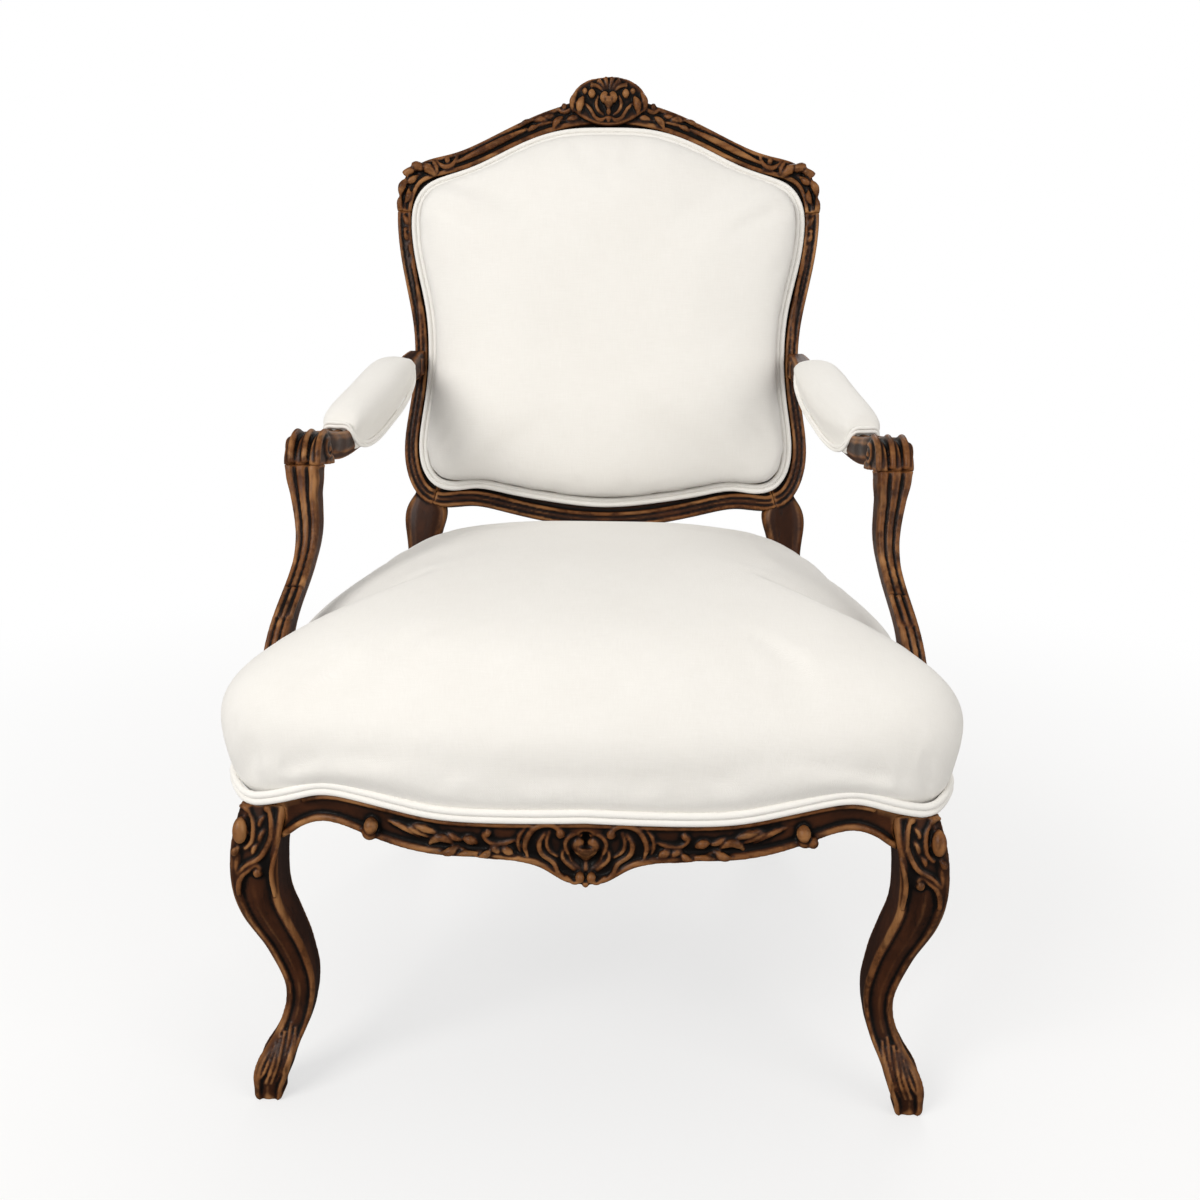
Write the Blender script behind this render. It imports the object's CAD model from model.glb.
import math

import bmesh
import bpy
import numpy as np
from mathutils import Matrix, Vector
from mathutils.bvhtree import BVHTree


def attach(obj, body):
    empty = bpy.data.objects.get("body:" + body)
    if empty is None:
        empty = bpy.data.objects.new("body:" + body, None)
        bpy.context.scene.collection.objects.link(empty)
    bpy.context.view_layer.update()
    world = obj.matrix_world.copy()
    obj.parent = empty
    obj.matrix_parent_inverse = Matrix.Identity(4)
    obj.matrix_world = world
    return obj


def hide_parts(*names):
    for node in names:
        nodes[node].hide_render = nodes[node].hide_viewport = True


# Open-arm chair with a carved serpentine frame, dressed over its solids.
# Sizes in the tables are millimetres in the maker's frame. Pieces are metres, with the depth
# centred and the floor at zero.

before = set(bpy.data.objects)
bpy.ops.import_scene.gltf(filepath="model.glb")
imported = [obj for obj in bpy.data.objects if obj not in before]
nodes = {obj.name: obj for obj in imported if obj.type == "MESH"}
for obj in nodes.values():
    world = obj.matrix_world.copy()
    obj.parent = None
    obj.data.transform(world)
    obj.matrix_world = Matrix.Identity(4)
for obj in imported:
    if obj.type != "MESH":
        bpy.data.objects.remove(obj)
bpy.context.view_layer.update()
scene = bpy.context.scene
scene.view_settings.view_transform = "Standard"

DEPTH_CENTRE = 3.0
FLOOR = 14.0
SIDES = (("left", -1), ("right", 1))

# Back: rake, face plane, and edge of the upholstery, right half from the top
BACK_RAKE = math.radians(12.9)
BACK_NORMAL = np.array([0, -math.cos(BACK_RAKE), math.sin(BACK_RAKE)])
BACK_FACE_Y, BACK_FACE_Z = 219.0, 480.0
FRAME_DEPTH = 34.0
PAD_MIDDLE, PAD_HALF_WIDTH, PAD_HALF_HEIGHT = 752.0, 250.0, 240.0
PAD_EDGE = [(0, 992), (59, 989), (97, 979), (140, 960), (184, 940), (218, 929), (243, 917),
            (256, 897), (259, 868), (252, 818), (240, 765), (235, 710), (236, 675), (240, 638),
            (246, 598), (247, 574), (242, 550), (229, 533), (209, 527), (178, 530), (135, 524),
            (76, 514), (0, 507)]
# Rings of the inside back: inset from the edge and height over the face plane
BACK_RINGS = [(13.5, -3), (13.5, 3), (11.5, 9), (11.5, 15), (14.5, 21), (21, 27), (31, 33), (46, 38),
              (66, 42.5), (90, 45.8), (120, 48), (160, 49.3), (205, 49.8), (238, 50)]
# Insets of the loops of the outside back, from the edge to the middle
OUTSIDE_INSETS = (6, 14, 30, 55, 85, 120, 160, 205, 238)
OUTSIDE_SAG = 2.2

# Seat: face line of the rails and foot line of the upholstery in plan, right half from the back
SEAT_PLAN = [(0, 243), (150, 241), (232, 236), (262, 215), (279, 160), (298, 60), (315, -50),
             (326, -150), (330, -222), (325, -268), (306, -300), (264, -319), (200, -330),
             (100, -343), (0, -347)]
CUSHION = [(0, 187), (140, 187), (238, 187), (263, 181), (276, 158), (294.5, 62), (312, -45),
           (319, -108), (315, -136), (306, -157), (302, -188), (305, -215), (318, -227),
           (333, -239), (338, -256), (332, -280), (311, -301), (266, -319), (199.5, -329),
           (100, -341), (0, -345)]
# Top of the show wood: across the front by distance from the middle, and along the sides by depth
FRONT_UPPER = [(0, 337), (90, 334), (140, 335), (172, 340), (205, 346), (240, 349), (266, 342), (300, 331)]
FRONT_END = -296
SIDE_UPPER = [(FRONT_END, 331), (-262, 340), (-228, 344), (300, 344)]
# Where the cover's foot is lifted over the arm supports and the rear posts, by depth
FOOT_LIFT = [(-230, 0), (-222, 353.5), (-128, 353.5), (-112, 0), (90, 0), (140, 357), (300, 357)]
# Rings of the seat: height, bulge, share of the width, share of the depth, middle of the depth
SEAT_RINGS = [(345, -1, 1, 1, -50), (352, 4, 1, 1, -50), (361, 10, 1, 1, -50), (373, 17, 1, 1, -50),
              (394, 24, 1, 1, -50), (420, 21, 1, 1, -50), (436, 12, 0.995, 1, -50),
              (448, 2, 0.985, 1, -49), (458, 0, 0.955, 0.98, -43), (468, 0, 0.91, 0.945, -36),
              (477, 0, 0.855, 0.9, -26), (485, 0, 0.78, 0.84, -14), (492, 0, 0.69, 0.765, 1),
              (498, 0, 0.58, 0.66, 16), (503, 0, 0.44, 0.52, 32), (506.5, 0, 0.27, 0.34, 44),
              (508, 0, 0.1, 0.13, 50)]
SEAT_MIDDLE = -50.0
SEAT_BASE, WELT_LEVEL, FOLLOW_RISE = 345.0, 344.0, 60.0
CROWN_START, CROWN_RISE, SHOULDER = 420.0, 88.0, 480.0
# Foot of the cover over the show wood, least share of the rise over the foot, and what is tucked in
FOOT_GAP, LEAST_RISE, TUCKED = 1.5, 0.35, 6.0
# Welt of the seat: out from the rail, up from its top, and further out at the corners by depth
WELT_OUT, WELT_UP = 3.0, 6.6
WELT_CORNER = [(-322, 0), (-300, 9), (-268, 12), (-248, 9), (-229, 1)]
# Heights in metres of the tops of the seat and of the arm pads
SEAT_TOP, ARM_PAD_TOP = 0.496, 0.69
# Share of the bulge along the sides of the seat, by depth
SIDE_BULGE = [(-330, 1.0), (-290, 0.85), (-255, 0.7), (-232, 0.15), (-145, 0.05), (-115, 0.4),
              (100, 0.5), (187, 0.1)]
# Section of the strip of the seat between the rear posts: depth and height
REAR_STRIP = [(180, 357), (180, 470), (195, 470), (204.6, 468), (220.4, 458.8), (233, 437), (238.2, 408),
              (238.2, 364), (238.2, 346), (232, 346), (232, 357)]
STRIP_HALF = 212

# Arms and their supports; the pad covers a span of the arm's length
ARM_LINE = [(247, 290, 691), (253, 222, 685), (259, 165, 670), (265, 120, 653), (274, 75, 636),
            (286, 30, 625), (294, 0, 622), (300, -32, 624), (304, -60, 627)]
ARM_DEPTH = [(0, 36), (0.12, 32), (0.24, 26), (0.74, 26), (0.88, 30), (1, 30)]
PAD_SPAN = (0.27, 0.8)
KNUCKLE_HUB = (304, -60, 609)
KNUCKLE_REACH = 70.0
VOLUTE_EYE = (-7, 17)
SUPPORT_LINE = [(305, -78, 609), (304, -88, 580), (300, -100, 545), (304, -126, 505), (314, -164, 462),
                (319, -189, 410), (320, -196, 380), (320, -198, 352)]
SUPPORT_WIDTH = [(0, 40), (0.12, 29), (0.35, 21), (0.6, 21), (0.8, 23), (1, 24)]

# Carving is laid from places in front of a face
START_OUT = 60.0
LEG_START_Y, SUPPORT_START_Y = -390.0, -330.0
TO_BACK = (0, 1, 0)
LONGEST_REACH, SAME_FACE = 0.3, 0.014
RAIL_CARVING_Z, BORDER_DROP = 309.0, 3.6

# Meshes in metres: carved members, arms and plain members when quick and when full, then upholstery
QUICK_VOXELS, FULL_VOXELS = (0.0022, 0.0020, 0.0028), (0.00125, 0.0013, 0.0017)
SEAT_VOXEL, BACK_VOXEL, PAD_VOXEL = 0.0072, 0.0065, 0.003
CLOTH_FRAMES = 20
# Wear: areas that the relaxed surfaces spread over, and the depths that count as full
NEAR_AREA, FAR_AREA = 22e-6, 110e-6
NEAR_DEPTH, FAR_DEPTH = 0.0004, 0.0012
CORDS_APART = 0.94


# Lines and places

def metres(points):
    """Places in the maker's millimetres as metres in the shared frame."""
    return (np.array(points, float).reshape(-1, 3) - (0, DEPTH_CENTRE, FLOOR)) / 1000


def graded(table, at):
    """Value read between the rows of a short table."""
    rows = np.array(table, float)
    return np.interp(at, rows[:, 0], rows[:, 1])


def mirrored_outline(half):
    return half + [(-x, y) for x, y in reversed(half[1:-1])]


def smooth_line(points, count, closed=False):
    """Evenly spaced points on a smooth curve through the given ones."""
    p = np.array(points, float)
    if closed:
        p = np.vstack([p[-4:], p, p[:5]])
    t = np.concatenate([[0], np.cumsum(np.linalg.norm(np.diff(p, axis=0), axis=1))])
    n = len(p)
    h = np.diff(t)
    a = np.eye(n)
    r = np.zeros_like(p)
    for i in range(1, n - 1):
        a[i, i - 1:i + 2] = h[i - 1], 2 * (h[i - 1] + h[i]), h[i]
        r[i] = 6 * ((p[i + 1] - p[i]) / h[i] - (p[i] - p[i - 1]) / h[i - 1])
    m = np.linalg.solve(a, r)

    def at(x):
        i = np.clip(np.searchsorted(t, x, "right") - 1, 0, n - 2)
        u = (x - t[i])[:, None]
        w = (t[i + 1] - x)[:, None]
        k = h[i][:, None]
        return (m[i] * w ** 3 + m[i + 1] * u ** 3) / (6 * k) \
            + (p[i] / k - m[i] * k / 6) * w + (p[i + 1] / k - m[i + 1] * k / 6) * u

    first, last = (t[4], t[-5]) if closed else (t[0], t[-1])
    fine = at(np.linspace(first, last, 40 * len(points)))
    s = np.concatenate([[0], np.cumsum(np.linalg.norm(np.diff(fine, axis=0), axis=1))])
    want = np.linspace(0, s[-1], count + 1 if closed else count)
    even = np.stack([np.interp(want, s, fine[:, k]) for k in range(p.shape[1])], axis=1)
    return even[:-1] if closed else even


def directions(line, closed=False):
    """Unit direction along a line at each of its points."""
    if closed:
        d = np.roll(line, -1, 0) - np.roll(line, 1, 0)
    else:
        d = np.gradient(line, axis=0)
    return d / np.linalg.norm(d, axis=1)[:, None]


def back_point(x, z, forward=0.0):
    """Place on the raked plane of the back, some way forward of it."""
    x, z, forward = np.broadcast_arrays(np.asarray(x, float), z, forward)
    y = BACK_FACE_Y + (z - BACK_FACE_Z) * math.tan(BACK_RAKE)
    return np.stack([x, y, z], -1) + forward[..., None] * BACK_NORMAL


def back_loop(inset, forward, count):
    """Closed line along the pad's edge in metres, drawn in towards the middle of the pad."""
    line = smooth_line(mirrored_outline(PAD_EDGE), count, True)
    x = line[:, 0] * (1 - inset / PAD_HALF_WIDTH)
    z = PAD_MIDDLE + (line[:, 1] - PAD_MIDDLE) * (1 - inset / PAD_HALF_HEIGHT)
    return metres(back_point(x, z, forward))


plan_line = smooth_line(mirrored_outline(SEAT_PLAN), 1200, True)
upper_line = smooth_line(FRONT_UPPER, 400)


def welt_height(p):
    """Top of the show wood below the seat's double welt."""
    return np.where(p[:, 1] < FRONT_END, graded(upper_line, np.abs(p[:, 0])), graded(SIDE_UPPER, p[:, 1]))


def rail_face(x, z, out):
    """Place in front of the front rail's face, at a distance from the middle and a height."""
    x = np.asarray(x, float)
    front = plan_line[plan_line[:, 1] < -290]
    y = graded(front[np.argsort(front[:, 0])], x)
    return np.stack([x, y - out, np.broadcast_to(z, x.shape)], -1)


# Meshes

def placed(name, data):
    """New object in the scene."""
    piece = bpy.data.objects.new(name, data)
    scene.collection.objects.link(piece)
    return piece


def new_piece(name, verts, faces):
    mesh = bpy.data.meshes.new(name)
    mesh.from_pydata([tuple(v) for v in verts], [], faces)
    mesh.update()
    return placed(name, mesh)


def solid_from_rings(rings):
    """Points and faces of a closed form through rings that have equal counts, capped at both ends."""
    count = len(rings[0])
    verts = np.vstack(rings + [rings[0].mean(0)[None], rings[-1].mean(0)[None]])
    faces = []
    for r in range(len(rings) - 1):
        for i in range(count):
            j = (i + 1) % count
            faces.append((r * count + i, r * count + j, (r + 1) * count + j, (r + 1) * count + i))
    low = len(rings) * count
    top = (len(rings) - 1) * count
    for i in range(count):
        j = (i + 1) % count
        faces.append((j, i, low))
        faces.append((top + i, top + j, low + 1))
    return verts, faces


def merged(piece, gap, outward):
    """Doubles merged, and the faces pointed out where that is asked for."""
    work = bmesh.new()
    work.from_mesh(piece.data)
    bmesh.ops.remove_doubles(work, verts=work.verts, dist=gap)
    if outward:
        bmesh.ops.recalc_face_normals(work, faces=work.faces)
    work.to_mesh(piece.data)
    work.free()
    return piece


def solid_piece(name, rings):
    return merged(new_piece(name, *solid_from_rings(rings)), 1e-6, True)


def points_of(mesh):
    co = np.empty(len(mesh.vertices) * 3, np.float32)
    mesh.vertices.foreach_get("co", co)
    return co.reshape(-1, 3).astype(float)


def normals_of(mesh):
    no = np.empty(len(mesh.vertices) * 3, np.float32)
    mesh.vertex_normals.foreach_get("vector", no)
    return no.reshape(-1, 3).astype(float)


def put_points(mesh, co):
    mesh.vertices.foreach_set("co", co.astype(np.float32).ravel())
    mesh.update()


def relax(mesh, co, rounds, share=0.5):
    """Points moved part of the way to the mean of their neighbours, round by round."""
    ends = np.empty(len(mesh.edges) * 2, np.int32)
    mesh.edges.foreach_get("vertices", ends)
    a, b = ends.reshape(-1, 2).T
    n = len(co)
    count = np.maximum(np.bincount(a, minlength=n) + np.bincount(b, minlength=n), 1)[:, None]
    for _ in range(rounds):
        total = np.stack([np.bincount(a, co[b, k], n) + np.bincount(b, co[a, k], n) for k in range(3)], 1)
        co = co + share * (total / count - co)
    return co


def evaluated_mesh(piece):
    bpy.context.view_layer.update()
    evaluated = piece.evaluated_get(bpy.context.evaluated_depsgraph_get())
    return bpy.data.meshes.new_from_object(evaluated)


def baked(piece):
    """The piece with its modifiers made part of its mesh."""
    mesh = evaluated_mesh(piece)
    piece.modifiers.clear()
    old = piece.data
    piece.data = mesh
    if old.users == 0:
        bpy.data.meshes.remove(old)
    return piece


def remeshed(piece, voxel, rounds):
    """The piece as one even mesh, relaxed."""
    step = piece.modifiers.new("even", "REMESH")
    step.mode = "VOXEL"
    step.voxel_size = voxel
    mesh = baked(piece).data
    put_points(mesh, relax(mesh, points_of(mesh), rounds))
    return piece


def joined(name, pieces):
    """One piece from several, by copying their faces."""
    work = bmesh.new()
    for piece in pieces:
        work.from_mesh(piece.data)
    mesh = bpy.data.meshes.new(name)
    work.to_mesh(mesh)
    work.free()
    whole = placed(name, mesh)
    for piece in pieces:
        bpy.data.objects.remove(piece)
    return whole


def copy_of(node, name):
    piece = merged(placed(name, nodes[node].data.copy()), 2e-6, False)
    piece.data.materials.clear()
    return piece


def coated(piece, material):
    piece.data.materials.clear()
    piece.data.materials.append(material)


def finished(piece, replaced, material):
    """Material, place on the frame, and the solids that the piece stands for."""
    coated(piece, material)
    piece.data.polygons.foreach_set("use_smooth", np.ones(len(piece.data.polygons), bool))
    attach(piece, "root")
    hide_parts(*replaced)
    return piece


# Node helpers

def plug(tree, target, inputs):
    """Inputs of a node, given as values or as sockets to link."""
    for key, value in inputs.items():
        if isinstance(value, bpy.types.NodeSocket):
            tree.links.new(value, target.inputs[key])
        else:
            target.inputs[key].default_value = value
    return target


def add(tree, kind, inputs, **settings):
    """New node with its settings and its inputs."""
    made = tree.nodes.new(kind)
    for key, value in settings.items():
        setattr(made, key, value)
    return plug(tree, made, inputs)


def new_group(name, kind, inputs, outputs):
    """Node group with sockets of (label, type) or (label, type, value)."""
    group = bpy.data.node_groups.new(name, kind)
    for label, socket_type, *value in inputs:
        socket = group.interface.new_socket(label, in_out="INPUT", socket_type="NodeSocket" + socket_type)
        if value:
            socket.default_value = value[0]
    for label, socket_type in outputs:
        group.interface.new_socket(label, in_out="OUTPUT", socket_type="NodeSocket" + socket_type)
    return group, group.nodes.new("NodeGroupInput").outputs, group.nodes.new("NodeGroupOutput")


def maths(tree, operation, a, b=None, clamp=False):
    inputs = {0: a} if b is None else {0: a, 1: b}
    return add(tree, "ShaderNodeMath", inputs, operation=operation, use_clamp=clamp).outputs[0]


def plus(tree, a, b, clamp=False):
    return maths(tree, "ADD", a, b, clamp)


def times(tree, a, b, clamp=False):
    return maths(tree, "MULTIPLY", a, b, clamp)


def blended(tree, share, a, b):
    """Colour a turning into colour b."""
    a, b = ((*value, 1) if isinstance(value, tuple) else value for value in (a, b))
    return add(tree, "ShaderNodeMix", {"Factor": share, 6: a, 7: b}, data_type="RGBA").outputs[2]


def stretch(tree, value, low, high):
    """Value brought from low..high to 0..1."""
    return add(tree, "ShaderNodeMapRange", {"From Min": low, "From Max": high, "Value": value},
               interpolation_type="SMOOTHSTEP").outputs["Result"]


def noise(tree, vector, scale, detail=3.0, rough=0.5):
    return add(tree, "ShaderNodeTexNoise", {
        "Scale": scale, "Detail": detail, "Roughness": rough, "Vector": vector}).outputs["Fac"]


def mapped(tree, vector, scale):
    return add(tree, "ShaderNodeMapping", {"Vector": vector, "Scale": scale}).outputs["Vector"]


def object_place(tree):
    return tree.nodes.new("ShaderNodeTexCoord").outputs["Object"]


def attribute(tree, name):
    return add(tree, "ShaderNodeAttribute", {}, attribute_name=name).outputs["Fac"]


def bumped(tree, height, strength, distance):
    return add(tree, "ShaderNodeBump", {
        "Height": height, "Strength": strength, "Distance": distance}).outputs["Normal"]


def principled(name):
    material = bpy.data.materials.new(name)
    material.use_nodes = True
    return material, material.node_tree, material.node_tree.nodes["Principled BSDF"]


# Finishes

FIGURE_DARK, FIGURE_PALE = (0.016, 0.0048, 0.0017), (0.074, 0.0215, 0.0064)
PATCH, PORE = (0.032, 0.0098, 0.0034), (0.007, 0.0035, 0.0022)
RUBBED, WORN = (0.19, 0.071, 0.021), (0.38, 0.178, 0.064)
HOLLOW_DARK = (0.0032, 0.0019, 0.0014)


def antiqued_group():
    """Walnut that is dark in the hollows and rubbed golden on the ridges, with grain along the piece."""
    group, given, out = new_group(
        "antiqued_walnut", "ShaderNodeTree",
        [("Vector", "Vector"), ("Grain", "Vector", (1, 1, 1)), ("Recess", "Float", 0.0),
         ("Ridge", "Float", 0.0)],
        [("Color", "Color"), ("Roughness", "Float"), ("Height", "Float")])
    place, ridge = given["Vector"], given["Ridge"]
    along = mapped(group, place, given["Grain"])
    figure = noise(group, along, 26.0, 5.0, 0.62)
    pores = noise(group, along, 150.0, 3.0, 0.7)
    patches = noise(group, place, 17.0, 3.0, 0.55)
    wear = noise(group, place, 60.0, 4.0, 0.65)
    flecks = noise(group, along, 62.0, 3.0, 0.55)
    wood = blended(group, stretch(group, figure, 0.33, 0.68), FIGURE_DARK, FIGURE_PALE)
    wood = blended(group, stretch(group, patches, 0.36, 0.70), wood, PATCH)
    wood = blended(group, times(group, stretch(group, pores, 0.56, 0.74), 0.55), wood, PORE)
    rub = times(group, ridge, plus(group, 0.15, stretch(group, wear, 0.34, 0.64)), True)
    wood = blended(group, rub, wood, RUBBED)
    wood = blended(group, times(group, ridge, stretch(group, flecks, 0.42, 0.74), True), wood, WORN)
    uneven = times(group, maths(group, "SUBTRACT", wear, 0.5), 0.35)
    hollow = plus(group, given["Recess"], uneven, True)
    rough = plus(group, plus(group, 0.36, times(group, pores, 0.16)), times(group, hollow, 0.22))
    height = maths(group, "SUBTRACT", times(group, wear, 0.35), stretch(group, pores, 0.55, 0.8))
    wood = blended(group, hollow, wood, HOLLOW_DARK)
    plug(group, out, {"Color": wood, "Roughness": rough, "Height": height})
    return group


def weave_group():
    """Plain weave: threads over and under, with slubs and a faint mottle."""
    group, given, out = new_group(
        "plain_weave", "ShaderNodeTree", [("Vector", "Vector"), ("Thread", "Float", 1200.0)],
        [("Tone", "Float"), ("Height", "Float"), ("Mottle", "Float")])
    place = given["Vector"]
    parts = add(group, "ShaderNodeSeparateXYZ", {0: place}).outputs
    wobble = times(group, noise(group, place, 220.0, 2.0), 1.6)
    warp, weft = (
        maths(group, "SINE", times(group, plus(group, times(group, way, given["Thread"]), wobble), math.pi))
        for way in (parts[0], parts[1]))
    over = times(group, warp, weft)
    slub_across = noise(group, mapped(group, place, (900.0, 45.0, 1.0)), 1.0, 2.0)
    slub_down = noise(group, mapped(group, place, (45.0, 900.0, 1.0)), 1.0, 2.0)
    slubs = plus(group, slub_across, slub_down)
    tone = plus(group, times(group, maths(group, "SUBTRACT", slubs, 1.0), 1.1), times(group, over, 0.12))
    plug(group, out, {"Height": plus(group, times(group, over, 0.5), slubs), "Tone": tone,
                      "Mottle": noise(group, place, 9.0, 4.0, 0.6)})
    return group


antiqued = antiqued_group()
weave = weave_group()


def walnut(name, grain):
    """Show wood whose grain runs along the piece."""
    material, tree, shader = principled(name)
    finish = add(tree, "ShaderNodeGroup", {
        "Vector": object_place(tree), "Grain": grain, "Recess": attribute(tree, "recess"),
        "Ridge": attribute(tree, "ridge")}, node_tree=antiqued).outputs
    plug(tree, shader, {
        "Base Color": finish["Color"], "Roughness": finish["Roughness"], "Coat Weight": 0.05,
        "Coat Roughness": 0.2, "Specular IOR Level": 0.18,
        "Normal": bumped(tree, finish["Height"], 0.5, 0.0006)})
    return material


def woven(name, pale, shaded, thread, bump, sheen):
    """Plain cloth on the piece's own unrolled coordinates."""
    material, tree, shader = principled(name)
    place = add(tree, "ShaderNodeUVMap", {}, uv_map="cloth").outputs["UV"]
    cloth = add(tree, "ShaderNodeGroup", {"Vector": place, "Thread": thread}, node_tree=weave).outputs
    share = plus(tree, times(tree, cloth["Tone"], 0.5), times(tree, cloth["Mottle"], 0.7), True)
    plug(tree, shader, {
        "Base Color": blended(tree, share, pale, shaded), "Roughness": 0.9, "Specular IOR Level": 0.25,
        "Sheen Weight": sheen, "Sheen Roughness": 0.5, "Normal": bumped(tree, cloth["Height"], bump, 0.0004)})
    return material


def beech_blocks():
    material, tree, shader = principled("plain_beech")
    along = mapped(tree, object_place(tree), (1.0, 0.2, 1.0))
    figure = noise(tree, along, 60.0, 4.0)
    flecks = noise(tree, along, 260.0, 2.0)
    colour = blended(tree, stretch(tree, figure, 0.35, 0.65), (0.50, 0.345, 0.195), (0.62, 0.455, 0.28))
    colour = blended(tree, stretch(tree, flecks, 0.62, 0.75), colour, (0.36, 0.23, 0.12))
    plug(tree, shader, {"Base Color": colour, "Roughness": 0.62, "Normal": bumped(tree, flecks, 0.3, 0.0004)})
    return material


def blued_tacks():
    material, tree, shader = principled("blued_tacks")
    spots = noise(tree, object_place(tree), 420.0, 3.0)
    plug(tree, shader, {
        "Base Color": blended(tree, spots, (0.05, 0.055, 0.075), (0.13, 0.12, 0.12)), "Metallic": 0.9,
        "Roughness": plus(tree, 0.28, times(tree, spots, 0.3))})
    return material


linen = woven("off_white_linen", (0.90, 0.885, 0.85), (0.82, 0.798, 0.755), 1300.0, 0.35, 0.25)
welt_linen = woven("welt_linen", (0.92, 0.905, 0.87), (0.84, 0.818, 0.775), 1300.0, 0.35, 0.25)
jute = woven("jute_webbing", (0.46, 0.34, 0.20), (0.30, 0.21, 0.115), 500.0, 0.8, 0.1)
hessian = woven("hessian_cloth", (0.52, 0.41, 0.26), (0.36, 0.27, 0.16), 420.0, 0.8, 0.1)
cambric = woven("black_cambric", (0.05, 0.05, 0.053), (0.028, 0.028, 0.03), 900.0, 0.4, 0.15)
walnut_across = walnut("walnut_across", (0.16, 1.0, 1.0))
walnut_deep = walnut("walnut_deep", (1.0, 0.16, 1.0))
walnut_upright = walnut("walnut_upright", (1.0, 1.0, 0.16))
beech = beech_blocks()
tack_steel = blued_tacks()


# Lines that node trees turn into pieces

def grown(name, lines, tree, values):
    """Piece that a node tree makes along lines of (points, closed, radii), with its inputs by name."""
    curve = bpy.data.curves.new(name, "CURVE")
    curve.dimensions = "3D"
    for points, closed, radii in lines:
        spline = curve.splines.new("POLY")
        spline.points.add(len(points) - 1)
        spline.points.foreach_set("co", np.hstack([points, np.ones((len(points), 1))]).ravel())
        spline.points.foreach_set("radius", np.zeros(len(points)) + radii)
        spline.use_cyclic_u = closed
    source = placed(name, curve)
    modifier = source.modifiers.new("grow", "NODES")
    modifier.node_group = tree
    for socket in tree.interface.items_tree:
        if socket.in_out == "INPUT" and socket.name in values:
            modifier[socket.identifier] = values[socket.name]
    mesh = evaluated_mesh(source)
    bpy.data.objects.remove(source)
    return placed(name, mesh)


def end_tree(tree, geometry, material, out):
    """Last nodes of a tree: instances made real and the material set."""
    realized = add(tree, "GeometryNodeRealizeInstances", {0: geometry})
    dressed = add(tree, "GeometryNodeSetMaterial", {"Geometry": realized.outputs[0], "Material": material})
    plug(tree, out, {0: dressed.outputs[0]})
    return tree


def stroke_tree():
    """Round section swept along each line, as wide as the line's own radius."""
    tree, given, out = new_group(
        "carved_strokes", "GeometryNodeTree",
        [("Geometry", "Geometry"), ("Sides", "Int"), ("Wood", "Material")], [("Geometry", "Geometry")])
    circle = add(tree, "GeometryNodeCurvePrimitiveCircle", {"Radius": 1.0, "Resolution": given["Sides"]})
    radius = tree.nodes.new("GeometryNodeInputRadius")
    swept = add(tree, "GeometryNodeCurveToMesh", {
        "Curve": given["Geometry"], "Profile Curve": circle.outputs[0], "Scale": radius.outputs[0],
        "Fill Caps": True})
    return end_tree(tree, swept.outputs[0], given["Wood"], out)


def double_welt_tree():
    """Two cords side by side along a line: Facing is out of the surface, Stacked sets one over the other."""
    tree, given, out = new_group(
        "double_welt", "GeometryNodeTree",
        [("Geometry", "Geometry"), ("Cord radius", "Float", 0.003), ("Facing", "Vector", (0, -1, 0)),
         ("Stacked", "Float", 0.0), ("Sides", "Int", 12), ("Cloth", "Material")], [("Geometry", "Geometry")])
    tangent = tree.nodes.new("GeometryNodeInputTangent").outputs[0]
    cross = add(tree, "ShaderNodeVectorMath", {0: tangent, 1: given["Facing"]}, operation="CROSS_PRODUCT")
    across = add(tree, "ShaderNodeMix", {"Factor": given["Stacked"], 4: cross.outputs[0], 5: (0, 0, 1)},
                 data_type="VECTOR").outputs[1]
    circle = add(tree, "GeometryNodeCurvePrimitiveCircle", {
        "Resolution": given["Sides"], "Radius": given["Cord radius"]})
    both = tree.nodes.new("GeometryNodeJoinGeometry")
    for way in (-CORDS_APART, CORDS_APART):
        reach = times(tree, given["Cord radius"], way)
        offset = add(tree, "ShaderNodeVectorMath", {0: across, "Scale": reach}, operation="SCALE").outputs[0]
        moved = add(tree, "GeometryNodeSetPosition", {"Geometry": given["Geometry"], "Offset": offset})
        swept = add(tree, "GeometryNodeCurveToMesh", {
            "Curve": moved.outputs[0], "Profile Curve": circle.outputs[0], "Fill Caps": True})
        plug(tree, both, {0: swept.outputs[0]})
    return end_tree(tree, both.outputs[0], given["Cloth"], out)


carved_strokes = stroke_tree()
double_welt = double_welt_tree()


# Carving: strokes with a tapering round section, laid on the face of a frame member

def stroke(points, *radii):
    """Line through points on a face, with radii spread evenly along it."""
    count = max(9, int(np.linalg.norm(np.diff(np.array(points, float), axis=0), axis=1).sum() / 1.6))
    line = smooth_line(points, count) if len(points) > 2 else np.linspace(points[0], points[1], count)
    return line, np.interp(np.linspace(0, 1, count), np.linspace(0, 1, len(radii)), radii)


def leaf(start, end, width, bow):
    """Full leaf between two points, bowed to one side."""
    a, b = np.array(start, float), np.array(end, float)
    side = np.array([a[1] - b[1], b[0] - a[0]])
    return stroke([a, (a + b) / 2 + side * bow, b], *(share * width for share in (0.25, 0.8, 1, 0.75, 0.2)))


def ball(u, v, radius, tall=1.0):
    s = np.linspace(-0.985, 0.985, 13)
    return np.column_stack([np.full(13, float(u)), v + s * radius * tall]), radius * np.sqrt(1 - s * s)


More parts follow.
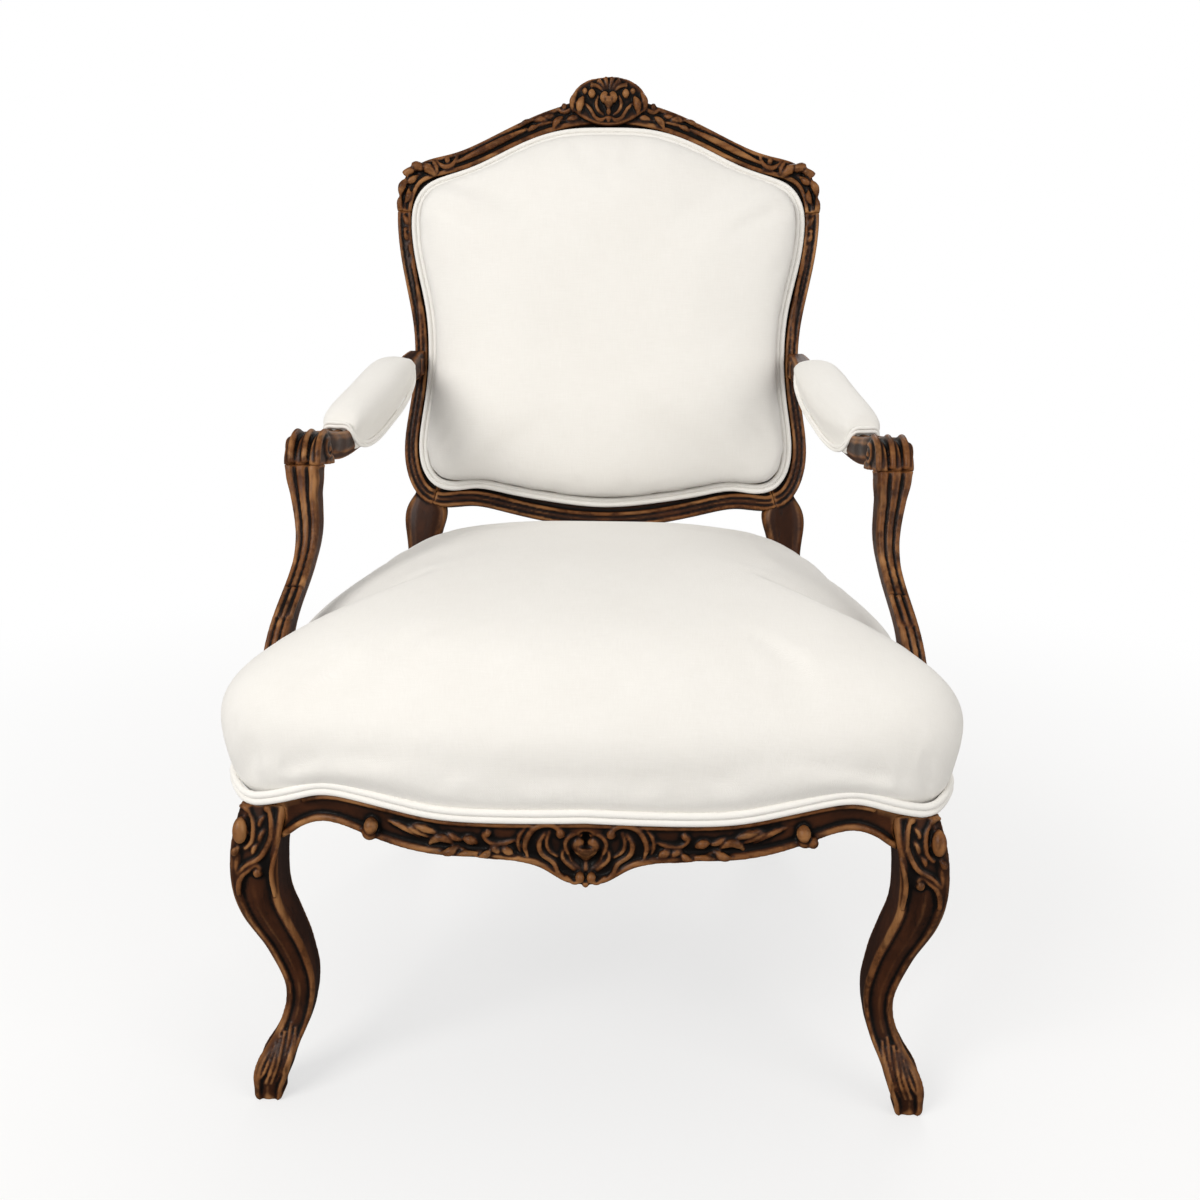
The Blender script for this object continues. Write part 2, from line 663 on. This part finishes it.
def laid(name, node, strokes, start, toward, lift, both=False):
    """Strokes put on the face that is met when going from a start place towards the member."""
    mesh = nodes[node].data
    face = BVHTree.FromPolygons([v.co for v in mesh.vertices], [p.vertices[:] for p in mesh.polygons])
    lines = []
    for points, radii in strokes:
        for sign in ((1, -1) if both else (1,)):
            begin = metres(start(points[:, 0] * sign, points[:, 1]))
            way = np.broadcast_to(toward, begin.shape)
            reach = np.array([face.ray_cast(Vector(q), Vector(w), LONGEST_REACH)[3] or np.nan
                              for q, w in zip(begin, way)])
            if np.isnan(reach).all():
                continue
            known = np.abs(reach - np.nanmedian(reach)) < SAME_FACE
            if known.sum() < 4:
                continue
            first, last = np.nonzero(known)[0][[0, -1]]
            kept = slice(first, last + 1)
            begin, way, known, spots = begin[kept], way[kept], known[kept], np.arange(last + 1 - first)
            reach = np.interp(spots, spots[known], reach[kept][known])
            width = min(len(reach) // 2 * 2 - 1, 13)
            padded = np.pad(reach, width // 2, mode="edge")
            reach = np.convolve(padded, np.ones(width) / width, mode="valid")
            r = radii[kept] / 1000
            lines.append((begin + way * (reach - lift * r)[:, None], False, r))
    return grown(name, lines, carved_strokes, {"Sides": 10, "Wood": walnut_upright})


def rail_carving():
    """Heart in C-scrolls at the middle of the front rail, with leaf sprays and bosses to each side."""
    paired = [
        stroke([(3, 12.5), (9, 15.2), (15.6, 12.4), (18.4, 4.5), (16.2, -4)], 1.2, 1.9, 2.0, 1.8, 0.9),
        ball(22.5, 16.5, 4.0),
        stroke([(22.5, 17.5), (26.5, 22.5), (36, 24.5), (46, 20.5), (52, 12), (54.5, 2), (51.5, -8)],
               2.6, 2.4, 2.5, 2.7, 2.7, 2.3, 1.2),
        stroke([(54, 20), (59, 13), (60.5, 5), (58, -5)], 1.0, 1.8, 1.8, 1.0),
        stroke([(36.5, 15.5), (41.5, 5.5), (38, -5.5), (29, -13), (25.5, -20), (16.5, -29)],
               1.2, 2.5, 2.7, 2.5, 2.0, 1.6),
        stroke([(32.5, 17), (35, 8), (32, -2), (25, -7)], 1.0, 1.7, 1.6, 1.0),
        ball(5.2, -26, 4.3),
        stroke([(5.5, -28), (9, -30.5), (14, -28.5), (17.5, -24.5)], 2.2, 2.1, 1.8, 1.0),
        stroke([(20, 0), (21, -6), (16, -14), (10, -20)], 1.0, 2.1, 2.1, 1.0),
        stroke([(63, 8), (71, 5), (81, 3.3), (88.5, 6.5), (91, 12), (88, 14.5)],
               1.0, 1.9, 2.2, 2.3, 2.1, 1.8),
        ball(88, 13.5, 2.8),
        leaf((65, -5.5), (78, -1), 4.2, 0.1), leaf((76, -5), (88, -1), 3.8, 0.15),
        leaf((85, -2), (95, -7.5), 3.4, -0.1), leaf((98, 3), (111, 7), 4.6, 0.1),
        leaf((110, 5.5), (125, 12), 3.0, -0.1), leaf((97, -5.5), (116, -8.5), 3.0, 0.06),
        leaf((115, -0.5), (131, -7.5), 4.4, -0.1),
        stroke([(119, 1), (129, 6.5), (137, 4), (142, -2)], 1.8, 4.0, 4.0, 1.2),
        stroke([(60, -9), (85, -11), (112, -3), (130, 2)], 0.9, 1.6, 1.6, 0.9),
        leaf((133, 10), (158, 17), 4.0, 0.04), leaf((139, 5), (166, 15), 3.6, 0.05),
        leaf((150, 5), (180, 19), 3.2, 0.05), ball(195, 14, 6.6)]
    lobes = [ball(-7.6, 4, 6.8), ball(7.6, 4, 6.8), stroke([(0, -11), (0, -21)], 2.4, 2.0), ball(0, -33, 3.2)]
    heart = [stroke([(0, 2.5), (0, -3.5), (0, -8.5), (0, -13)], 12.4, 12.2, 8.0, 2.8)]
    border = [stroke([(u, graded(upper_line, u) - RAIL_CARVING_Z - BORDER_DROP)
                      for u in range(0, 261, 10)], 1.5)]

    def start(u, v):
        return rail_face(u, RAIL_CARVING_Z + v, START_OUT)

    return [laid("rail_pairs", "front_rail", paired + border, start, TO_BACK, 0.4, True),
            laid("rail_lobes", "front_rail", lobes, start, TO_BACK, 0.3),
            laid("rail_heart", "front_rail", heart, start, TO_BACK, 0.1),
            laid("rail_knob", "front_rail", [ball(203.5, 4.5, 5.6)], start, TO_BACK, 0.1)]


def crest_carving():
    """Shell heart at the top of the crest, leaf sprays beside it and a leaf over each corner."""
    shell = [stroke([(2.0 * k, 1031 - k), (5.2 * k, 1041 - 0.5 * k * k), (9.5 * k, 1050 - 1.6 * k * k)],
                    1.4, 2.6, 3.2) for k in (0.5, 1.5, 2.5)]
    paired = shell + [
        ball(22, 1029.5, 4.8), ball(31, 1033, 3.2),
        stroke([(2, 1001), (9, 997.5), (16, 999.5), (23, 1009), (32, 1018.5)], 2.0, 2.2, 2.3, 2.2, 1.2),
        stroke([(13, 1027), (16, 1019), (13.5, 1009), (6, 1003)], 1.2, 2.1, 2.1, 1.2),
        leaf((33, 1026), (38, 1005), 5.6, 0.08), leaf((42, 1031), (46, 1008), 4.6, 0.12),
        stroke([(46, 1004), (51, 1015), (49, 1030), (41, 1041), (28, 1049)], 1.6, 2.6, 2.8, 2.6, 1.6),
        stroke([(48, 1016), (52, 1010.5), (59, 1009), (67, 1014.5)], 1.4, 2.8, 3.0, 1.4), ball(58, 1016, 3.6),
        leaf((36, 1002), (56, 998.5), 4.2, 0.08), leaf((60, 1003), (72, 988.5), 4.6, 0.1),
        leaf((70, 1006), (87, 1003.5), 3.6, -0.1), leaf((79, 998), (98, 997), 4.4, 0.12),
        leaf((92, 991), (105, 985), 3.4, 0.1), leaf((98, 999), (118, 989), 3.4, 0.08),
        stroke([(48, 1000), (70, 997), (90, 993), (104, 988)], 1.2, 1.8, 1.8, 1.0),
        stroke([(106, 988), (133, 976), (170, 958.5), (198, 946)], 1.8, 4.2, 4.4, 1.8),
        stroke([(197, 954), (203, 943.5), (212, 940), (225, 947)], 1.8, 3.2, 3.4, 1.8), ball(210, 948, 3.6),
        leaf((226, 929), (247, 942), 6.6, 0.1), leaf((237, 936), (264, 937), 6.8, 0.14),
        leaf((250, 938), (272, 917), 6.2, 0.14), leaf((229, 947), (225, 930), 4.2, -0.1),
        leaf((250, 929), (266, 920), 4.6, -0.1), leaf((262, 925), (272, 903), 5.2, 0.1),
        leaf((261, 912), (265, 895), 4.2, -0.12), leaf((271, 903), (270, 884), 3.8, 0.12)]
    heart = [ball(-5.2, 1024, 6.2), ball(5.2, 1024, 6.2),
             stroke([(0, 1024), (0, 1016), (0, 1010), (0, 1005)], 7.2, 6.2, 2.8, 2.0),
             ball(0, 1007, 3.3), ball(0, 998.5, 2.8)]

    def start(u, v):
        return back_point(u, v, START_OUT)

    return [laid("crest_pairs", "crest_rail", paired, start, -BACK_NORMAL, 0.4, True),
            laid("crest_heart", "crest_rail", heart, start, -BACK_NORMAL, 0.6)]


def stile_carving(side, sign):
    """Buds and leaves that trail down the stile below the corner leaf."""
    trail = [leaf((268, 893), (265, 880), 3.4, -0.12), leaf((268, 879), (263, 864), 3.2, -0.12),
             ball(265, 861, 2.6), leaf((265, 860), (261, 846), 2.8, 0.1),
             leaf((262, 846), (258, 828), 2.4, -0.1),
             stroke([(258, 826), (250, 795), (244.5, 745), (243.5, 705)], 1.4, 2.4, 2.4, 1.2)]

    def start(u, v):
        return back_point(sign * u, v, START_OUT)

    return [laid("stile_trail_" + side, "rear_post_" + side, trail, start, -BACK_NORMAL, 0.25)]


def knee_carving(side, sign):
    """Scrolled knee with a ringed oval, a panel between beads and a feathered foot."""
    strokes = [
        stroke([(295.6, 331), (292.4, 321.5), (291.3, 312), (291.8, 303), (294.6, 295.6), (298, 289.4),
                (303, 283), (311, 278), (317, 274), (324, 266)],
               2.0, 2.3, 2.6, 2.6, 2.6, 2.6, 2.6, 2.5, 2.2, 1.4),
        ball(295.4, 328, 3.0),
        ball(320, 309, 7.0, 1.7),
        stroke([(312, 324), (308.6, 316), (308.2, 307), (310.5, 297), (317, 291)], 1.3, 2.1, 2.3, 2.1, 1.2),
        stroke([(312, 325), (319, 329), (325.5, 325)], 1.5, 2.2, 1.5),
        leaf((322, 293), (327.5, 284), 3.4, 0.1),
        ball(305.5, 268, 3.8),
        stroke([(303, 271), (305.5, 276), (312, 272), (319, 266), (323.5, 257), (324.5, 244)],
               1.6, 2.2, 2.5, 2.6, 2.6, 2.0),
        stroke([(285.5, 294), (289, 283), (291.6, 272), (291.8, 258), (290.5, 244)], 1.2, 2.2, 2.4, 2.4, 1.8),
        leaf((298, 309), (302.5, 297), 1.9, 0.1), leaf((304.5, 296), (309, 286), 1.9, 0.1),
        leaf((298.5, 321), (303, 311), 1.8, 0.1),
        leaf((289, 84), (300, 42), 2.6, -0.06), leaf((294, 88), (305.5, 36), 2.9, -0.06),
        leaf((299, 85), (311, 34), 2.9, -0.05), leaf((303.5, 78), (316.5, 34), 2.7, -0.05),
        leaf((308, 70), (322, 38), 2.5, -0.05)]

    def start(u, v):
        return np.column_stack([sign * u, np.full(len(u), LEG_START_Y), v])

    return [laid("knee_scroll_" + side, "front_leg_" + side, strokes, start, TO_BACK, 0.35)]


def arm_carving(side, sign):
    """Ridges over the knuckle and a volute on each of its faces."""
    hub = np.array(KNUCKLE_HUB, float) * (sign, 1, 1)
    turn = np.radians(np.linspace(118, -8, 30))
    inward = np.column_stack([0 * turn, np.cos(turn), -np.sin(turn)])
    ridges = [(np.column_stack([across + 0 * turn, turn]),
               np.interp(turn, np.radians([-8, 90, 118]), [radius, radius, 1.2]))
              for across, radius in ((-14.5, 3.4), (0, 3.0), (14.5, 3.4))]

    def around(u, v):
        return hub + np.column_stack([u, -KNUCKLE_REACH * np.cos(v), KNUCKLE_REACH * np.sin(v)])

    pieces = [laid("knuckle_ridges_" + side, "arm_" + side, ridges, around, inward, 0.2)]
    turn = np.linspace(1.1, 1.1 + 3.0 * math.pi, 50)
    spread = np.linspace(10.4, 3.6, 50)
    curl = [(np.column_stack([spread * np.cos(turn), spread * np.sin(turn)]), np.linspace(2.2, 1.6, 50)),
            ball(0, 0, 3.2)]
    for face in (-1, 1):
        def beside(u, v):
            out = np.full(len(u), face * START_OUT)
            return hub + np.column_stack([out, u + VOLUTE_EYE[0], v + VOLUTE_EYE[1]])

        pieces.append(laid("volute_%s_%d" % (side, face), "arm_" + side, curl, beside, (-face, 0, 0), 0.2))
    return pieces


def support_carving(side, sign):
    """Three ridges that follow the bend of the arm support down to the rail."""
    line = smooth_line(SUPPORT_LINE, 120)
    half = graded(SUPPORT_WIDTH, np.linspace(0, 1, 120)) / 2
    slim = np.interp(half, [10, 20], [0.72, 1.0])
    ridges = [(np.column_stack([line[:, 0] + share * half, line[:, 2]]), radius * slim)
              for share, radius in ((-0.72, 3.3), (0.0, 3.0), (0.72, 3.3))]

    def start(u, v):
        return np.column_stack([sign * u, np.full(len(u), SUPPORT_START_Y), v])

    return [laid("support_ridges_" + side, "arm_support_" + side, ridges, start, TO_BACK, 0.2)]


# Show wood

def wear_marks(piece, voxel):
    """Attributes for the hollows, which stay dark, and for the ridges, which are rubbed."""
    mesh = piece.data
    co = points_of(mesh)
    no = normals_of(mesh)
    fine, broad = int(NEAR_AREA / voxel ** 2), int(FAR_AREA / voxel ** 2)
    near_co = relax(mesh, co, max(4, fine))
    near = np.einsum("ij,ij->i", near_co - co, no)
    far = np.einsum("ij,ij->i", relax(mesh, near_co, max(12, broad - fine)) - co, no)
    hollow = np.clip(near / NEAR_DEPTH, -1, 1) + 0.6 * np.clip(far / FAR_DEPTH, -1, 1)
    for name, value in (("recess", hollow * 1.1 - 0.1), ("ridge", -hollow * 0.95 - 0.3)):
        mark = mesh.attributes.new(name, "FLOAT", "POINT")
        mark.data.foreach_set("value", np.clip(value, 0, 1).astype(np.float32))


def show_wood(node, extras, voxel, material, rounds=1):
    """The frame member with its carving, as one worn surface."""
    piece = remeshed(joined(node + "_carved", [copy_of(node, "blank")] + extras), voxel, rounds)
    wear_marks(piece, voxel)
    return finished(piece, [node], material)


def make_frame():
    fine, arms, plain = FULL_VOXELS
    show_wood("crest_rail", crest_carving(), fine, walnut_across)
    show_wood("lower_back_rail", [], plain, walnut_across, 2)
    show_wood("front_rail", rail_carving(), fine, walnut_across)
    show_wood("rear_rail", [], plain, walnut_across, 2)
    for side, sign in SIDES:
        show_wood("side_rail_" + side, [], plain, walnut_deep, 2)
        show_wood("rear_post_" + side, stile_carving(side, sign), plain, walnut_upright)
        show_wood("front_leg_" + side, knee_carving(side, sign), fine, walnut_upright)
        show_wood("arm_" + side, arm_carving(side, sign), arms, walnut_deep)
        show_wood("arm_support_" + side, support_carving(side, sign), arms, walnut_upright)
        for end in ("front", "rear"):
            coated(nodes[end + "_corner_block_" + side], beech)
    coated(nodes["frame_pegs"], walnut_upright)


make_frame()


# Upholstery

def unrolled(piece, u, v):
    """Cloth coordinates in metres, stored on the piece."""
    mesh = piece.data
    layer = mesh.uv_layers.new(name="cloth")
    corner = np.empty(len(mesh.loops), np.int32)
    mesh.loops.foreach_get("vertex_index", corner)
    layer.data.foreach_set("uv", np.stack([u, v], 1)[corner].astype(np.float32).ravel())


def draped(piece, fall_at, down, slope=1.0):
    """Cloth coordinates of a crowned cover, spread outwards where it falls away from its top."""
    co = points_of(piece.data)
    no = relax(piece.data, normals_of(piece.data), 8)
    fall = fall_at(co)
    unrolled(piece, co[:, 0] + no[:, 0] * fall, co[:, down] * slope + no[:, down] * fall)


def plumped(piece, held, pressure, cap, keep):
    """Cloth swelled from inside, held along its tacked edge, with no point moved further than the cap."""
    start = points_of(piece.data)
    group = piece.vertex_groups.new(name="held")
    for weight in (0.25, 0.5, 0.75, 1.0):
        found = np.nonzero((held > weight - 0.25) & (held <= weight))[0]
        group.add([int(i) for i in found], weight, "REPLACE")
    settings = piece.modifiers.new("cloth", "CLOTH").settings
    settings.quality = 6
    settings.mass = 0.3
    settings.tension_stiffness = settings.compression_stiffness = 25
    settings.shear_stiffness = 8
    settings.bending_stiffness = 1.5
    settings.use_pressure = True
    settings.uniform_pressure_force = pressure
    settings.vertex_group_mass = "held"
    settings.effector_weights.gravity = 0
    for at in range(1, CLOTH_FRAMES + 1):
        scene.frame_set(at)
    baked(piece)
    scene.frame_set(1)
    mesh = piece.data
    moved = points_of(mesh) - start
    length = np.linalg.norm(moved, axis=1)
    moved *= np.minimum(1, cap / np.maximum(length, 1e-9))[:, None]
    put_points(mesh, relax(mesh, start + moved * keep, 2))
    piece.vertex_groups.clear()


def upholstered(form, voxel, rounds, held_at, pressure, cap, keep):
    """Form made an even mesh, swelled as cloth and given one more level of faces."""
    piece = remeshed(form, voxel, rounds)
    plumped(piece, held_at(points_of(piece.data)), pressure, cap, keep)
    step = piece.modifiers.new("finer", "SUBSURF")
    step.levels = step.render_levels = 1
    return baked(piece)


def foot_height(p):
    """Lower edge of the seat cover."""
    return np.maximum(welt_height(p) + FOOT_GAP, graded(FOOT_LIFT, p[:, 1]))


def seat_form(inset):
    """Closed form of the seat: rings up from the welt to the crown, and the strip between the posts."""
    foot = smooth_line(mirrored_outline(CUSHION), 300, True)
    along = directions(foot, True)
    outward = np.stack([-along[:, 1], along[:, 0]], 1)
    if (outward[:, 1] * foot[:, 1]).sum() < 0:
        outward = -outward
    share = graded(SIDE_BULGE, foot[:, 1])
    rings = []
    for k, (z, bulge, wide, deep, middle) in enumerate(smooth_line(SEAT_RINGS, 80)):
        out = bulge * (share if bulge > 0 else np.ones(len(foot))) - (inset if z < SHOULDER else 0)
        moved = foot + outward * out[:, None]
        rise = z - SEAT_BASE
        follow = (welt_height(moved) - WELT_LEVEL) * max(0.0, 1 - rise / FOLLOW_RISE)
        sunk = inset * max(0.0, (z - CROWN_START) / CROWN_RISE)
        height = np.maximum(z + follow, foot_height(moved) + LEAST_RISE * rise) - sunk
        if k == 0:
            height = foot_height(moved) - TUCKED
        rings.append(np.stack([moved[:, 0] * wide, middle + (moved[:, 1] - SEAT_MIDDLE) * deep, height], 1))
    strip = [metres([(x, y - inset, z) for y, z in REAR_STRIP])
             for x in np.linspace(-STRIP_HALF, STRIP_HALF, 30)]
    return joined("seat_upholstery", [solid_piece("seat_form", [metres(r) for r in rings]),
                                      solid_piece("strip", strip)])


def make_seat():
    def held_at(co):
        tack = (foot_height(co * 1000 + (0, DEPTH_CENTRE, FLOOR)) - FLOOR) / 1000
        edge = np.clip(1.3 - (co[:, 2] - tack) / 0.02, 0, 1)
        return np.maximum(edge, np.clip((co[:, 1] - 0.150) / 0.05, 0, 1))

    piece = upholstered(seat_form(2.5), SEAT_VOXEL, 3, held_at, 4.0, 0.012, 0.8)
    draped(piece, lambda co: SEAT_TOP - co[:, 2], 1)
    finished(piece, ["seat_cover", "seat_stuffing"], linen)


def make_back():
    slack = 1.5
    rings = []
    for inset, forward in smooth_line(BACK_RINGS, 44):
        drawn = inset + slack * max(0, 1 - inset / 60)
        rings.append(back_loop(drawn, forward - slack * min(1, max(0, forward / 20)), 260))
    face = metres(back_point(0, 700))

    def over_face(co):
        return (co - face) @ BACK_NORMAL

    piece = upholstered(solid_piece("inside_back_upholstery", rings), BACK_VOXEL, 3,
                        lambda co: np.clip(1.3 - over_face(co) / 0.012, 0, 1), 3.0, 0.008, 0.7)
    draped(piece, lambda co: 0.05 - over_face(co), 2, 1 / math.cos(BACK_RAKE))
    finished(piece, ["inside_back_cover", "back_stuffing"], linen)


def arm_stations(f):
    """Places on the right arm's upper face along the pad, with the directions up and across it."""
    line = smooth_line(ARM_LINE, 401)
    g = PAD_SPAN[0] + np.asarray(f, float) * (PAD_SPAN[1] - PAD_SPAN[0])

    def at(values):
        return np.stack([np.interp(g * 400, np.arange(401), values[:, k]) for k in range(3)], 1)

    along = at(directions(line))
    up = np.array([0, 0, 1.0]) - along * along[:, 2:3]
    up /= np.linalg.norm(up, axis=1)[:, None]
    across = np.cross(along, up)
    across *= np.sign(across[:, :1])
    return at(line) + up * (0.5 * graded(ARM_DEPTH, g))[:, None], up, across


def make_arm_pad(side, sign):
    """Pad that is pulled over the arm and down its sides, rounded at both ends."""
    f = np.concatenate([[-0.012, -0.006], np.linspace(0, 1, 41), [1.006, 1.012]])
    base, up, across = arm_stations(f)
    end_draw = {0: 0.45, 1: 0.85, len(f) - 1: 0.45, len(f) - 2: 0.85}
    rings = []
    for k in range(len(f)):
        full = max(0.0, 1 - abs(2 * f[k] - 1) ** 2.4) ** 0.5
        high = (0.35 + 0.87 * full) * (0.8 + 0.2 * min(1, max(0, f[k])))
        wide = 0.8 + 0.31 * full
        drawn = end_draw.get(k, 1.0)
        half = [(16.5, -24), (18.5, -13), (23.5 * wide, 0), (26 * wide, 9 * high), (23 * wide, 20 * high),
                (13.5 * wide, 27.5 * high), (0, 30 * high)]
        half = [(a * drawn, b * drawn) for a, b in half]
        ring = smooth_line(half + [(-a, b) for a, b in reversed(half[:-1])], 40)
        rings.append(metres(base[k] + across[k] * ring[:, :1] + up[k] * ring[:, 1:]) * (sign, 1, 1))
    middle = metres(base)[::-1]

    def held_at(co):
        height = co[:, 2] - np.interp(co[:, 1], middle[:, 1], middle[:, 2])
        return np.clip(1.0 - height / 0.008, 0, 1)

    piece = upholstered(solid_piece("arm_pad_" + side, rings), PAD_VOXEL, 4, held_at, 3.0, 0.004, 0.6)
    draped(piece, lambda co: ARM_PAD_TOP - co[:, 2], 1)
    finished(piece, ["arm_cover_" + side, "arm_stuffing_" + side], linen)


make_seat()
make_back()
for side, sign in SIDES:
    make_arm_pad(side, sign)


# Double welts

def make_welt(name, lines, replaced, radius, facing, stacked):
    piece = grown(name, [(points, closed, 1.0) for points, closed in lines], double_welt, {
        "Cord radius": radius, "Facing": facing, "Stacked": stacked, "Sides": 14, "Cloth": welt_linen})
    co = points_of(piece.data)
    unrolled(piece, co[:, 0] + co[:, 1], co[:, 2])
    finished(piece, [replaced], welt_linen)


def plan_stretch(start, end, count):
    """Line along the face of the seat rails between two points in plan, at the height of the welt."""
    a, b = (int(np.argmin(np.linalg.norm(plan_line - place, axis=1))) for place in (start, end))
    run = plan_line[np.linspace(a, b if b > a else b + len(plan_line), count).astype(int) % len(plan_line)]
    along = directions(run)
    out = np.stack([-along[:, 1], along[:, 0]], 1)
    out *= np.sign((out * run).sum(1))[:, None]
    corner = graded(WELT_CORNER, run[:, 1])[:, None]
    return metres(np.column_stack([run + out * (WELT_OUT + corner), welt_height(run) + WELT_UP]))


def arm_welt_line():
    """Loop round the foot of the right arm's pad."""
    side = [(-0.03, 12.5, 4.8), (-0.006, 17.6, -6), (0.1, 17.8, -21), (0.5, 18.4, -22.5), (0.9, 17.8, -20),
            (1.006, 17.6, -6), (1.03, 12.5, 4.8)]
    other = [(f, -half, rise) for f, half, rise in reversed(side)]
    rows = [(-0.034, 0, 5.6)] + side + [(1.034, 0, 5.6)] + other
    f, half, rise = np.array(rows).T
    base, up, across = arm_stations(f)
    return metres(smooth_line(base + across * half[:, None] + up * rise[:, None], 200, True))


def make_welts():
    front = plan_stretch((329, -235), (-329, -235), 220)
    flank = plan_stretch((276, 176), (325, -147), 80)
    rear = metres([(x, 246, 350.5) for x in np.linspace(-STRIP_HALF, STRIP_HALF, 60)])
    runs = (front, flank, flank * (-1, 1, 1), rear)
    make_welt("seat_double_welt", [(run, False) for run in runs], "seat_welt", 0.0034, (0, -1, 0), 1.0)
    make_welt("inside_back_double_welt", [(back_loop(8.6, -0.8, 420), True)],
              "inside_back_welt", 0.0033, tuple(BACK_NORMAL), 0.0)
    make_welt("outside_back_double_welt", [(back_loop(3.0, -FRAME_DEPTH - 2.0, 420), True)],
              "outside_back_welt", 0.0025, tuple(-BACK_NORMAL), 0.0)
    loop = arm_welt_line()
    for side, sign in SIDES:
        make_welt("arm_double_welt_" + side, [(loop * (sign, 1, 1), True)],
                  "arm_welt_" + side, 0.0021, (0, -1, 0), 1.0)


make_welts()


# Outside back, underside and hidden layers

def make_outside_back():
    """Stretched linen over the back, drawn slightly hollow between the frame members."""
    loops = []
    for inset in OUTSIDE_INSETS:
        sag = OUTSIDE_SAG * (1 - (1 - inset / OUTSIDE_INSETS[-1]) ** 2)
        loops.append(back_loop(inset, -FRAME_DEPTH - 1.2 + sag, 200))
    verts, faces = solid_from_rings(loops)
    outer_cap = len(verts) - 2
    piece = new_piece("outside_back_linen", verts, [f for f in faces if outer_cap not in f])
    work = bmesh.new()
    work.from_mesh(piece.data)
    bmesh.ops.delete(work, geom=[v for v in work.verts if not v.link_faces], context="VERTS")
    bmesh.ops.recalc_face_normals(work, faces=work.faces)
    if sum(f.normal.y for f in work.faces) < 0:
        bmesh.ops.reverse_faces(work, faces=work.faces)
    work.to_mesh(piece.data)
    work.free()
    wall = piece.modifiers.new("cloth", "SOLIDIFY")
    wall.thickness = 0.0009
    wall.offset = 0
    baked(piece)
    co = points_of(piece.data)
    unrolled(piece, co[:, 0], co[:, 2] / math.cos(BACK_RAKE))
    finished(piece, ["outside_back_cover"], linen)


def make_underside():
    """Black cambric below the seat and the tacks that hold it."""
    piece = copy_of("dust_cover", "dust_cloth")
    co = points_of(piece.data)
    unrolled(piece, co[:, 0], co[:, 1])
    finished(piece, ["dust_cover"], cambric)
    coated(nodes["dust_cover_tacks"], tack_steel)


def make_hidden_layers():
    """Webbing and hessian under the stuffing."""
    for node, name, slot, material, down in (("seat_webbing", "seat_straps", "webbing", jute, 1),
                                             ("back_webbing", "back_straps", "webbing", jute, 2),
                                             ("seat_hessian", "seat_hessian_cloth", "hessian", hessian, 1),
                                             ("back_hessian", "back_hessian_cloth", "hessian", hessian, 2)):
        piece = copy_of(node, name)
        co = points_of(piece.data)
        unrolled(piece, co[:, 0], co[:, down])
        finished(piece, [node], material)


make_outside_back()
make_underside()
make_hidden_layers()


# Floor, light and camera

def mixed(tree, share, first, second, output):
    """Two shaders blended into the output node."""
    mix = add(tree, "ShaderNodeMixShader", {0: share, 1: first.outputs[0], 2: second.outputs[0]})
    plug(tree, tree.nodes[output], {"Surface": mix.outputs[0]})


def make_floor():
    """Pale floor that turns into the plain background further out, and is dim in reflections."""
    floor = new_piece("floor", [(-6, -4, 0), (6, -4, 0), (6, 8, 0), (-6, 8, 0)], [(0, 1, 2, 3)])
    material, tree, shader = principled("pale_floor")
    rays = tree.nodes.new("ShaderNodeLightPath").outputs
    tone = blended(tree, rays["Is Camera Ray"], (0.5, 0.5, 0.5), (0.93, 0.93, 0.93))
    tone = blended(tree, rays["Is Glossy Ray"], tone, (0.1, 0.1, 0.1))
    plug(tree, shader, {"Base Color": tone, "Roughness": 0.8})
    glow = add(tree, "ShaderNodeEmission", {"Strength": 1.0})
    far = add(tree, "ShaderNodeVectorMath", {0: object_place(tree)}, operation="LENGTH").outputs["Value"]
    away = plus(tree, 0.62, times(tree, stretch(tree, far, 0.5, 1.9), 0.38))
    mixed(tree, times(tree, rays["Is Camera Ray"], away), shader, glow, "Material Output")
    floor.data.materials.append(material)


def make_room():
    """Soft light from all round that is dim in reflections, and a white background."""
    scene.world = bpy.data.worlds.new("soft_room")
    scene.world.use_nodes = True
    tree = scene.world.node_tree
    rays = tree.nodes.new("ShaderNodeLightPath").outputs
    strength = maths(tree, "SUBTRACT", 0.52, times(tree, rays["Is Glossy Ray"], 0.4))
    room = plug(tree, tree.nodes["Background"], {"Color": (1.0, 0.985, 0.965, 1), "Strength": strength})
    seen = add(tree, "ShaderNodeBackground", {"Color": (1, 1, 1, 1)})
    mixed(tree, rays["Is Camera Ray"], room, seen, "World Output")


def lamp(name, place, aim, size, power, colour):
    data = bpy.data.lights.new(name, "AREA")
    data.size = size
    data.energy = power
    data.color = colour
    light = placed(name, data)
    light.location = place
    light.rotation_euler = (Vector(aim) - Vector(place)).to_track_quat("-Z", "Y").to_euler()


def make_camera():
    camera = placed("camera", bpy.data.cameras.new("camera"))
    camera.data.sensor_width = 36.0
    camera.data.lens = 35.04
    pan, tilt, roll = (Matrix.Rotation(math.radians(angle), 4, axis)
                       for angle, axis in ((1.56, "Z"), (74.5, "X"), (0.36, "Z")))
    camera.matrix_world = Matrix.Translation((0.0371, -1.2949, 0.7894)) @ pan @ tilt @ roll
    scene.camera = camera


make_floor()
make_room()
lamp("window", (-1.9, -2.2, 2.2), (0, -0.1, 0.6), 1.6, 62, (1.0, 0.98, 0.95))
lamp("fill", (2.2, -1.8, 1.5), (0, 0, 0.55), 1.8, 22, (1.0, 0.97, 0.93))
lamp("behind", (0.4, 2.4, 2.4), (0, 0.2, 0.7), 1.6, 26, (1.0, 0.98, 0.96))
make_camera()
